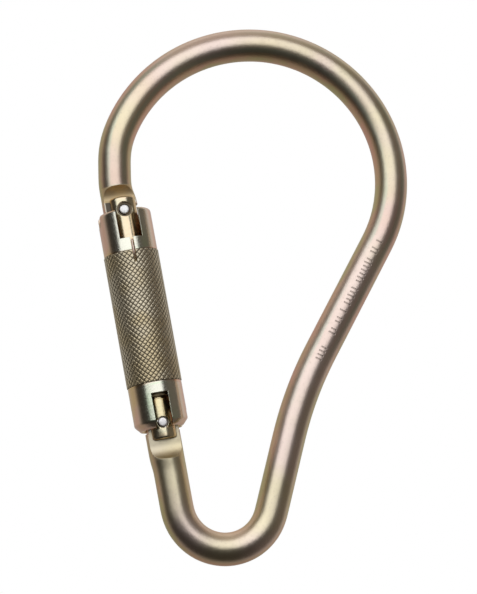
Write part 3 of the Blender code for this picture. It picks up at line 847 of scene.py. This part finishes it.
class CARABINER_OT_sleeve(bpy.types.Operator):
    """Build the plain sleeve: a walled tube on a grid of heights and angles, with its openings left out.

    A cell of the grid is metal unless its middle lies in an opening. Metal cells get an outer and an
    inner face, and a wall wherever metal meets an opening.
    """

    bl_idname = "carabiner.sleeve"
    bl_label = "Sleeve"

    def execute(self, context):
        s, c = context.scene.carabiner_sleeve, context.scene.carabiner_finish
        outer, inner = sleeve_profiles(s)
        windows = sleeve_windows()
        even = np.linspace(MOUTH, SLEEVE_TOP, 60)
        limits = [limit for window in windows for limit in window[2:]]
        heights = np.concatenate((outer[:, 0], inner[:, 0], even, limits))
        heights = np.unique(np.round(np.clip(heights, MOUTH, SLEEVE_TOP), 8))
        edges = [math.radians(w[0]) + sign * math.asin(w[1] / s.radius) for w in windows for sign in (-1, 1)]
        even = np.linspace(0.0, FULL_TURN, 180, endpoint=False)
        angles = np.unique(np.round(np.mod(np.concatenate((even, edges)), FULL_TURN), 6))
        gap = np.diff(np.append(angles, angles[0] + FULL_TURN))
        to_edge = np.min(np.abs(np.subtract.outer(angles, np.mod(edges, FULL_TURN))), axis=1)
        narrow, on_edge = 0.006, 1e-5
        angles = angles[(gap > narrow) | (to_edge < on_edge)]
        rows, columns = len(heights), len(angles)
        out_r = np.interp(heights, outer[:, 0], outer[:, 1])
        in_r = np.interp(heights, inner[:, 0], inner[:, 1])
        mid_h = 0.5 * (heights[:-1] + heights[1:])
        mid_a = angles + 0.5 * np.diff(np.append(angles, angles[0] + FULL_TURN))
        metal = np.ones((rows - 1, columns), dtype=bool)
        for centre, half, low, high in windows:
            away = np.abs(self.turned_from(mid_a, centre))
            across = away < math.asin(half / s.radius)
            metal &= ~(((mid_h > low) & (mid_h < high))[:, None] & across[None, :])
        outside = self.shell(out_r, heights, self.squared(angles, windows, s.radius, out_r, heights))
        inside = self.shell(in_r, heights, self.squared(angles, windows, s.radius, in_r, heights))
        points = np.concatenate((outside.reshape(-1, 3), inside.reshape(-1, 3)))
        faces = self.faces(metal, rows, columns)
        used = np.unique(np.concatenate([np.ravel(f) for f in faces]))
        index = np.full(len(points), -1)
        index[used] = np.arange(len(used))
        quads = np.concatenate([index[f] for f in faces]).tolist()
        olive, rose = (0.72, 0.55, 0.26), (0.76, 0.44, 0.31)
        finish = turned_steel("sleeve_passivation", c.sleeve, olive, rose, 0.22)
        sleeve = make_object("sleeve", to_world(points[used]), quads, finish, 28.0)
        outwards(sleeve.data)
        finished(sleeve, "sleeve", "sleeve_steel", "locking_sleeve")
        return {"FINISHED"}

    @staticmethod
    def turned_from(angles, centre):
        """Angles measured from a centre given in degrees, within half a turn either way."""
        return (angles - math.radians(centre) + math.pi) % FULL_TURN - math.pi

    @staticmethod
    def shell(radius, heights, angles):
        """Points at a radius for each height and an angle for each column, the angle from front to left."""
        angles = np.broadcast_to(angles, (len(heights), angles.shape[-1]))
        radius = radius[:, None]
        heights = heights[:, None] + 0.0 * angles
        return np.stack((-radius * np.sin(angles), -radius * np.cos(angles), heights), axis=-1)

    @classmethod
    def squared(cls, angles, windows, outer, radius, heights):
        """Angles of the points at each height's radius, spread so that the openings' walls stand square.

        The edges of an opening move to its half width, and the angles beside them ease back over spread.
        """
        spread, steepest, touch = 0.30, 0.95, 1e-7
        result = np.broadcast_to(angles, (len(heights), len(angles))).copy()
        for centre, half, low, high in windows[:5]:
            edge = math.asin(half / outer)
            wide = edge + spread
            away = cls.turned_from(angles, centre)
            target = np.arcsin(np.minimum(half / radius, steepest))
            near = np.abs(away) <= wide
            for row in np.nonzero((heights >= low - touch) & (heights <= high + touch))[0]:
                moved = np.interp(np.abs(away[near]), (0.0, edge, wide), (0.0, target[row], wide))
                result[row, near] = math.radians(centre) + np.sign(away[near]) * moved
        return result

    @staticmethod
    def faces(metal, rows, columns):
        """Outer, inner and wall faces, as arrays of four point numbers."""
        shift = rows * columns
        r, c = np.nonzero(metal)
        start, after = r * columns + c, r * columns + (c + 1) % columns
        faces = [np.stack((start, after, after + columns, start + columns), axis=-1)]
        faces.append(faces[0][:, ::-1] + shift)
        none = np.zeros((1, columns), bool)
        below = np.vstack((none, metal[:-1]))
        above = np.vstack((metal[1:], none))
        for missing, row_step in ((metal & ~below, 0), (metal & ~above, 1)):
            r, c = np.nonzero(missing)
            start = (r + row_step) * columns + c
            after = (r + row_step) * columns + (c + 1) % columns
            faces.append(np.stack((start, after, after + shift, start + shift), axis=-1))
        before, behind = np.roll(metal, 1, axis=1), np.roll(metal, -1, axis=1)
        for missing, column_step in ((metal & ~before, 0), (metal & ~behind, 1)):
            r, c = np.nonzero(missing)
            start = r * columns + (c + column_step) % columns
            faces.append(np.stack((start, start + columns, start + columns + shift, start + shift), axis=-1))
        return faces


def diamond_height(angle, height, s):
    """Height of the knurl, 0 in a groove and 1 on a diamond's flat top.

    Two families of helical grooves cross: u = n*a/2pi + z/p and v = n*a/2pi - z/p. Each groove is a
    ramp either side of a whole number, and the lower of the two families counts.
    """
    ramp, ramp_height, crown = 0.1, 0.88, 0.24
    turn = s.knurl_starts * angle / FULL_TURN
    rise = height / s.knurl_pitch
    u, v = turn + rise, turn - rise
    away = np.minimum(np.abs(u - np.round(u)), np.abs(v - np.round(v)))
    return ramp_height * np.clip(away / ramp, 0.0, 1.0) + crown * away


class CARABINER_OT_knurl(bpy.types.Operator):
    """Build the knurled band: r = groove radius + depth * diamond height, open along the slit."""

    bl_idname = "carabiner.knurl"
    bl_label = "Knurl"

    def execute(self, context):
        s, c = context.scene.carabiner_sleeve, context.scene.carabiner_finish
        low, high, slit = KNURL_LOW, KNURL_HIGH, SLIT_LOW
        half = math.asin(SLIT_HALF / s.radius)
        fine, apart = 10, 0.3
        turn, rise = FULL_TURN / (fine * s.knurl_starts), s.knurl_pitch / fine
        even = np.arange(-fine, fine * s.knurl_starts) * turn
        inside = even[(even > half + apart * turn) & (even < FULL_TURN - half - apart * turn)]
        angles = np.concatenate(([half], inside, [FULL_TURN - half]))
        bridge = even[np.abs(even) < half - apart * turn]
        steps = low + np.arange(int((high - low) / rise) + 1) * rise
        steps = steps[np.minimum(np.abs(steps - slit), np.abs(steps - high)) > apart * rise]
        heights = np.unique(np.concatenate((steps, (slit, high))))
        top, level = self.surface(angles, heights, s)
        rows, columns = len(heights), len(angles)
        lower = heights[heights <= slit + 1e-9]
        link, link_level = self.surface(bridge, lower, s)
        faces = grid_faces(rows, columns, closed=False)
        count, start, wide = len(lower), rows * columns, len(bridge)
        table = np.empty((count, wide + 2), dtype=int)
        table[:, 0] = np.arange(count) * columns + columns - 1
        table[:, -1] = np.arange(count) * columns
        table[:, 1:-1] = start + np.arange(count * wide).reshape(count, wide)
        quads = np.stack((table[:-1, :-1], table[:-1, 1:], table[1:, 1:], table[1:, :-1]), axis=-1)
        faces += quads.reshape(-1, 4).tolist()
        points = np.concatenate((top, link))
        levels = np.concatenate((level, link_level))
        floor = s.knurl_radius - s.knurl_depth - 0.05 * MM
        points, faces, levels = self.closed(points, faces, levels, table, rows, columns, floor)
        # the second colour is the painted shade of the grooves
        finish = knurl_steel("knurl_steel_finish", (0.72, 0.65, 0.50), (0.15, 0.125, 0.09))
        band = make_object("knurled_band", to_world(points), faces, finish, 50.0)
        attribute = band.data.attributes.new("groove", "FLOAT", "POINT")
        attribute.data.foreach_set("value", (1.0 - levels).astype(np.float32))
        outwards(band.data)
        finished(band, "sleeve", "sleeve_steel")
        return {"FINISHED"}

    @staticmethod
    def surface(angles, heights, s):
        """Points of the knurl on a grid of angles and heights, and their levels, faded out at both ends."""
        fade = 0.25 * MM
        a, h = np.meshgrid(angles, heights)
        from_end = np.minimum(h - KNURL_LOW, KNURL_HIGH - h)
        level = diamond_height(a, h - KNURL_LOW, s) * np.clip(from_end / fade, 0.0, 1.0)
        radius = s.knurl_radius - s.knurl_depth + s.knurl_depth * level
        return np.stack((-radius * np.sin(a), -radius * np.cos(a), h), axis=-1).reshape(-1, 3), level.ravel()

    @staticmethod
    def closed(points, faces, levels, table, rows, columns, floor):
        """Drop a skirt from the band's rim to a floor ring, and close the floor with one strip per column."""
        bottom = np.concatenate((np.arange(columns), table[0, 1:-1]))
        slit_left = np.arange(table.shape[0] - 1, rows) * columns + columns - 1
        slit_right = np.arange(table.shape[0] - 1, rows) * columns
        last = (rows - 1) * columns + np.arange(columns)
        rim = np.concatenate((last, slit_left[::-1][1:], table[-1, 1:-1], slit_right[:-1]))
        result, extra = points, []
        numbers = {}
        for loop in (bottom, rim):
            ring = points[loop]
            scale = floor / np.linalg.norm(ring[:, :2], axis=1)
            dropped = np.column_stack((ring[:, 0] * scale, ring[:, 1] * scale, ring[:, 2]))
            start = len(result)
            result = np.concatenate((result, dropped))
            inner = start + np.arange(len(loop))
            numbers.update(zip(loop.tolist(), inner.tolist()))
            after = np.roll(np.arange(len(loop)), -1)
            extra += np.stack((loop, loop[after], inner[after], inner), axis=-1).tolist()
        lower = [numbers[i] for i in range(columns)]
        upper = [numbers[i] for i in last.tolist()]
        extra += [[lower[i], lower[i + 1], upper[i + 1], upper[i]] for i in range(1, columns - 2)]
        right = [numbers[i] for i in slit_right[:-1].tolist()]
        left = [numbers[i] for i in slit_left[::-1][1:].tolist()]
        under = [numbers[i] for i in table[0, 1:-1].tolist()]
        over = [numbers[i] for i in table[-1, 1:-1].tolist()]
        extra.append([lower[-1], *under, lower[0], right[0], *over[::-1], left[-1]])
        levels = np.concatenate((levels, np.zeros(len(result) - len(levels))))
        extra.append([lower[0], lower[1], upper[1], upper[0], *right[::-1]])
        extra.append([lower[-2], lower[-1], *left[::-1], upper[-1], upper[-2]])
        return result, faces + extra, levels


class CARABINER_OT_springs(bpy.types.Operator):
    """Build the sleeve's torsion spring, whose leg shows in the slit, as one wire."""

    bl_idname = "carabiner.springs"
    bl_label = "Sleeve spring"

    def execute(self, context):
        s, c = context.scene.carabiner_sleeve, context.scene.carabiner_finish
        turns, steps, coil_radius, coil_start, coil_length = 9, 30, 6.8, 27.0, 33.0
        t = np.linspace(0.0, turns, turns * steps + 1)
        a = FULL_TURN * t
        rise = coil_start + coil_length * t / turns
        coil = np.stack((coil_radius * np.sin(a), -coil_radius * np.cos(a), rise), axis=-1)
        corners = np.array((
            (0.0, -7.2, 61.6), (0.0, -7.3, 64.1), (0.0, -8.4, 65.3), (0.0, -10.1, 66.9), (0.0, -10.1, 72.6),
        ))
        knots, fine = np.linspace(0.0, 1.0, len(corners)), np.linspace(0.0, 1.0, 33)
        leg = smoothed(np.stack([np.interp(fine, knots, column) for column in corners.T], axis=-1), 4)
        path = np.concatenate((coil, leg)) * MM
        points, faces = swept(path, np.full(len(path), s.wire_radius), 16)
        steel = (0.98, 0.84, 0.70)
        finish = passivated("wire_finish", steel, c.gold, c.rose, 0.5, 0.25, 0.01 * MM, 0.1 * MM)
        wire = make_object("sleeve_spring_wire", to_world(points), faces, finish)
        outwards(wire.data)
        finished(wire, "sleeve", "spring_steel", "sleeve_spring")
        return {"FINISHED"}


class CARABINER_OT_inner_parts(bpy.types.Operator):
    """Give the inner parts that stay as modelled their finishes: ring, gate spring, plunger and stop pin."""

    bl_idname = "carabiner.inner_parts"
    bl_label = "Inner parts"

    def execute(self, context):
        c = context.scene.carabiner_finish
        dark = passivated("ring_finish", (0.30, 0.25, 0.18), c.olive, c.rose, 0.4, 0.3)
        bare = cut_steel("inner_steel_finish", (0.6, 0.58, 0.54), 0.4)
        finishes = {"retaining_ring": dark, "gate_spring": bare, "gate_plunger": bare, "stop_pin": bare}
        for node, finish in finishes.items():
            mesh = frame["nodes"][node].data
            mesh.materials.clear()
            mesh.materials.append(finish)
        return {"FINISHED"}


# ---------------------------------------------------------------- studio

MIDDLE = np.array((-7.26, 0.0, -98.08)) * MM  # the point the camera and the light face
CAMERA_DISTANCE = 0.8973
LENS, SENSOR = 136.9, 36.0
LIGHT_SIZE, LIGHT_POWER = (1.56, 1.1), 6.9
FLOOR_HALF, FLOOR_LEVEL = 1.6, -2.4


def direction(azimuth, elevation):
    """The unit vector towards an azimuth (0 is the front, positive to the right) and an elevation."""
    a, e = math.radians(azimuth), math.radians(elevation)
    return np.array((math.sin(a) * math.cos(e), -math.cos(a) * math.cos(e), math.sin(e)))


class CARABINER_OT_studio(bpy.types.Operator):
    """Build the pale floor, the surround, the soft light and the camera."""

    bl_idname = "carabiner.studio"
    bl_label = "Studio"

    def execute(self, context):
        context.scene.view_settings.view_transform = "Standard"
        self.floor()
        self.world()
        self.light()
        self.camera()
        return {"FINISHED"}

    @staticmethod
    def floor():
        """A wide matt floor well below the hanging object."""
        square = np.array(((-1.0, -1.0, 0.0), (1.0, -1.0, 0.0), (1.0, 1.0, 0.0), (-1.0, 1.0, 0.0)))
        corners = square * FLOOR_HALF + (0.0, 0.0, FLOOR_LEVEL)
        finish = Finish("floor_paint")
        speck = finish.noise(3.0, 2.0)
        finish.set("Base Color", finish.mix(speck * 0.1, (0.9, 0.9, 0.9), (0.84, 0.84, 0.84)))
        finish.set("Roughness", 0.9)
        finish.set("Emission Color", (1.0, 1.0, 1.0))
        finish.set("Emission Strength", 0.5)
        floor = make_object("floor", corners, [[0, 1, 2, 3]], finish.material)
        floor.visible_glossy = False

    @staticmethod
    def world():
        """A white surround that the metal sees as bright behind, dim at both sides and soft in front."""
        world = bpy.data.worlds.new("studio")
        world.use_nodes = True
        bpy.context.scene.world = world
        tree = world.node_tree
        tree.nodes.clear()
        tools = Nodes(tree)
        right, back, up = tools.axes(tools.node("ShaderNodeTexCoord", out="Generated"))
        behind = tools.ramp(back, -0.05, 0.40)
        above = tools.ramp(up, 0.55, 0.95) * (1.0 - behind)
        top = tools.ramp(up, 0.75, 1.0)
        below = tools.ramp(up * -1.0, 0.5, 0.95)
        side = tools.ramp(right, 0.35, 0.85)
        level = behind * (up * 0.17 + 0.45) + above * 0.2 + top * 0.22 + below * 0.015 + side * 0.09
        level = level + up * 0.015 + 0.032
        seen = tools.node("ShaderNodeLightPath", out="Is Camera Ray")
        colour = tools.mix(behind, (1.0, 0.84, 0.68), (1.0, 0.98, 0.95))
        colour = tools.mix(seen, colour, (1.0, 1.0, 1.0))
        strength = seen + (1.0 - seen) * level
        shine = tools.node("ShaderNodeBackground", inputs={"Color": colour, "Strength": strength})
        tools.node("ShaderNodeOutputWorld", inputs={"Surface": shine})

    @classmethod
    def light(cls):
        """A soft rectangular light above the front, out of the camera's sight."""
        data = bpy.data.lights.new("key", "AREA")
        data.shape = "RECTANGLE"
        data.size, data.size_y = LIGHT_SIZE
        data.energy = LIGHT_POWER
        cls.aimed(data, MIDDLE + direction(-16.0, 26.0)).visible_camera = False

    @classmethod
    def camera(cls):
        """A long lens a little below and to the left of the front."""
        data = bpy.data.cameras.new("camera")
        data.lens = LENS
        data.sensor_width = SENSOR
        place = MIDDLE + CAMERA_DISTANCE * direction(-8.5, -11.5)
        bpy.context.scene.camera = cls.aimed(data, place)

    @staticmethod
    def aimed(data, place):
        """Stand a light or a camera at a place, facing the middle."""
        obj = bpy.data.objects.new(data.name, data)
        bpy.context.scene.collection.objects.link(obj)
        obj.location = place
        obj.rotation_euler = Vector(MIDDLE - place).to_track_quat("-Z", "Y").to_euler()
        return obj


# ---------------------------------------------------------------- add-on


class CARABINER_PT_panel(bpy.types.Panel):
    """Lists the steps in the 3D view's sidebar."""

    bl_idname = "CARABINER_PT_panel"
    bl_label = "Locking Carabiner"
    bl_space_type = "VIEW_3D"
    bl_region_type = "UI"
    bl_category = "Carabiner"

    def draw(self, context):
        for step in STEPS:
            self.layout.operator(step.bl_idname)


STEPS = (
    CARABINER_OT_bar,
    CARABINER_OT_gate,
    CARABINER_OT_pins,
    CARABINER_OT_sleeve,
    CARABINER_OT_knurl,
    CARABINER_OT_springs,
    CARABINER_OT_inner_parts,
    CARABINER_OT_studio,
)
SETTINGS = {
    "carabiner_bar": BarSettings,
    "carabiner_gate": GateSettings,
    "carabiner_sleeve": SleeveSettings,
    "carabiner_finish": FinishSettings,
}


def register():
    for group in SETTINGS.values():
        bpy.utils.register_class(group)
    for name, group in SETTINGS.items():
        setattr(bpy.types.Scene, name, PointerProperty(type=group))
    for step in (*STEPS, CARABINER_PT_panel):
        bpy.utils.register_class(step)


def unregister():
    for step in (CARABINER_PT_panel, *reversed(STEPS)):
        bpy.utils.unregister_class(step)
    for name in SETTINGS:
        delattr(bpy.types.Scene, name)
    for group in reversed(list(SETTINGS.values())):
        bpy.utils.unregister_class(group)


def main():
    register()
    for step in STEPS:
        group, name = step.bl_idname.split(".")
        getattr(getattr(bpy.ops, group), name)()


if __name__ == "__main__":
    main()
